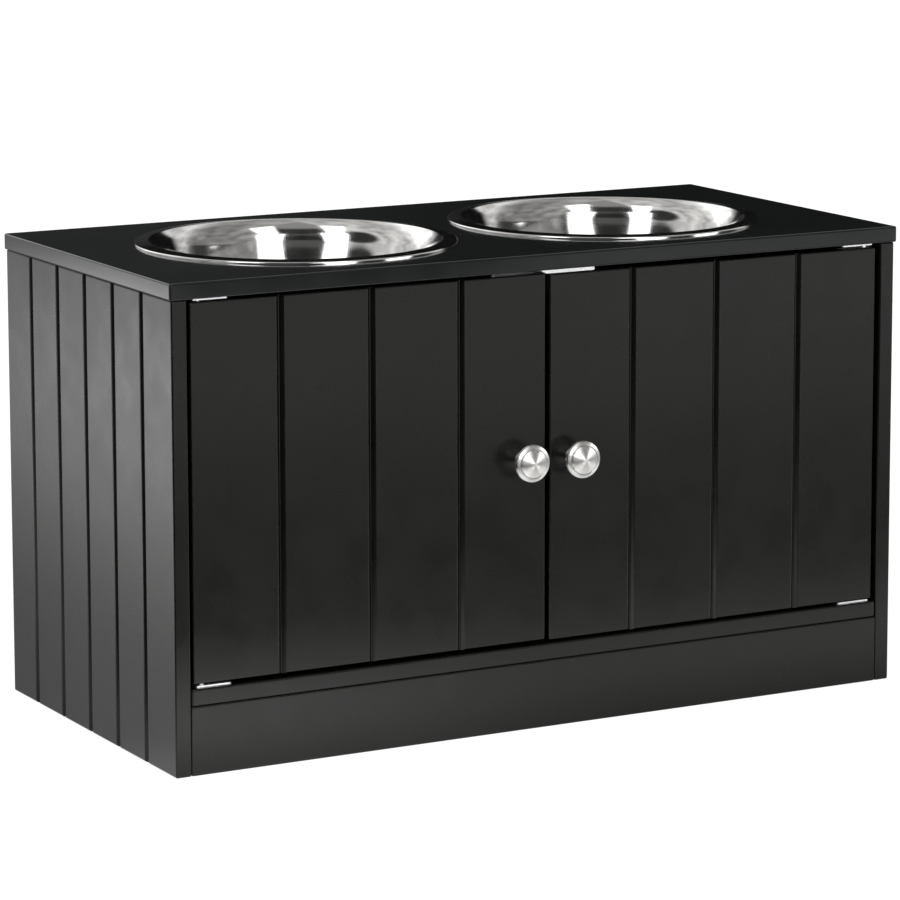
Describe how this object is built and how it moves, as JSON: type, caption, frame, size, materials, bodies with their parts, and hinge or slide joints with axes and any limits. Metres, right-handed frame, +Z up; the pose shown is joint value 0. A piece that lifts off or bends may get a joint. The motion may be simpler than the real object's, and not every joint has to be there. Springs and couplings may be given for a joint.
{
  "type": "elevated pet feeder with storage",
  "caption": "Raised feeder: black planked cabinet with hinged front doors and round knobs, and lift-out steel bowls set in its top.",
  "frame": {"origin": "on the floor, under the middle of the whole object's bounding box", "axes": "+X to the right as one faces the doors, +Y from the doors to the back, +Z up"},
  "size_m": [0.6, 0.3088, 0.351],
  "materials": {
    "top_lacquer": "gloss black lacquer on MDF",
    "lacquer": "satin black lacquer on MDF",
    "mirror_steel": "mirror polished stainless steel",
    "brushed_nickel": "turned, satin nickel",
    "zinc_steel": "zinc plated",
    "screw_steel": "zinc plated",
    "cast_zinc": "cast",
    "magnet": "nickel plated",
    "beech": "raw beech"
  },
  "bodies": {
    "cabinet": {"top_panel": "top_lacquer", "left_side_panel": "lacquer", "right_side_panel": "lacquer", "bottom_panel": "lacquer", "kick_board": "lacquer", "back_panel": "lacquer", "left_cabinet_hinge_leaves": "zinc_steel", "right_cabinet_hinge_leaves": "zinc_steel", "left_hinge_pins": "zinc_steel", "right_hinge_pins": "zinc_steel", "door_stop_bracket": "zinc_steel", "left_cabinet_hinge_screws": "screw_steel", "right_cabinet_hinge_screws": "screw_steel", "stop_bracket_screws": "screw_steel", "back_panel_screws": "screw_steel", "cam_bolts": "screw_steel", "cam_locks": "cast_zinc", "catch_magnets": "magnet", "wood_dowels": "beech"},
    "left_door": {"left_door_panel": "lacquer", "left_door_knob": "brushed_nickel", "left_knob_screw": "screw_steel", "left_door_hinge_leaves": "zinc_steel", "left_door_hinge_screws": "screw_steel", "left_strike_plate": "zinc_steel", "left_strike_screws": "screw_steel"},
    "right_door": {"right_door_panel": "lacquer", "right_door_knob": "brushed_nickel", "right_knob_screw": "screw_steel", "right_door_hinge_leaves": "zinc_steel", "right_door_hinge_screws": "screw_steel", "right_strike_plate": "zinc_steel", "right_strike_screws": "screw_steel"},
    "left_bowl": {"left_bowl": "mirror_steel"},
    "right_bowl": {"right_bowl": "mirror_steel"}
  },
  "joints": [
    {"name": "left_door_hinge", "type": "hinge", "parent": "cabinet", "child": "left_door", "pos_m": [-0.2757, -0.12845, 0.2], "axis": [0, 0, -1], "range_deg": [0, 110]},
    {"name": "right_door_hinge", "type": "hinge", "parent": "cabinet", "child": "right_door", "pos_m": [0.2757, -0.12845, 0.2], "axis": [0, 0, 1], "range_deg": [0, 110]},
    {"name": "left_bowl_lift", "type": "slide", "parent": "cabinet", "child": "left_bowl", "axis": [0, 0, 1], "range_m": [0, 0.1]},
    {"name": "right_bowl_lift", "type": "slide", "parent": "cabinet", "child": "right_bowl", "axis": [0, 0, 1], "range_m": [0, 0.1]}
  ]
}
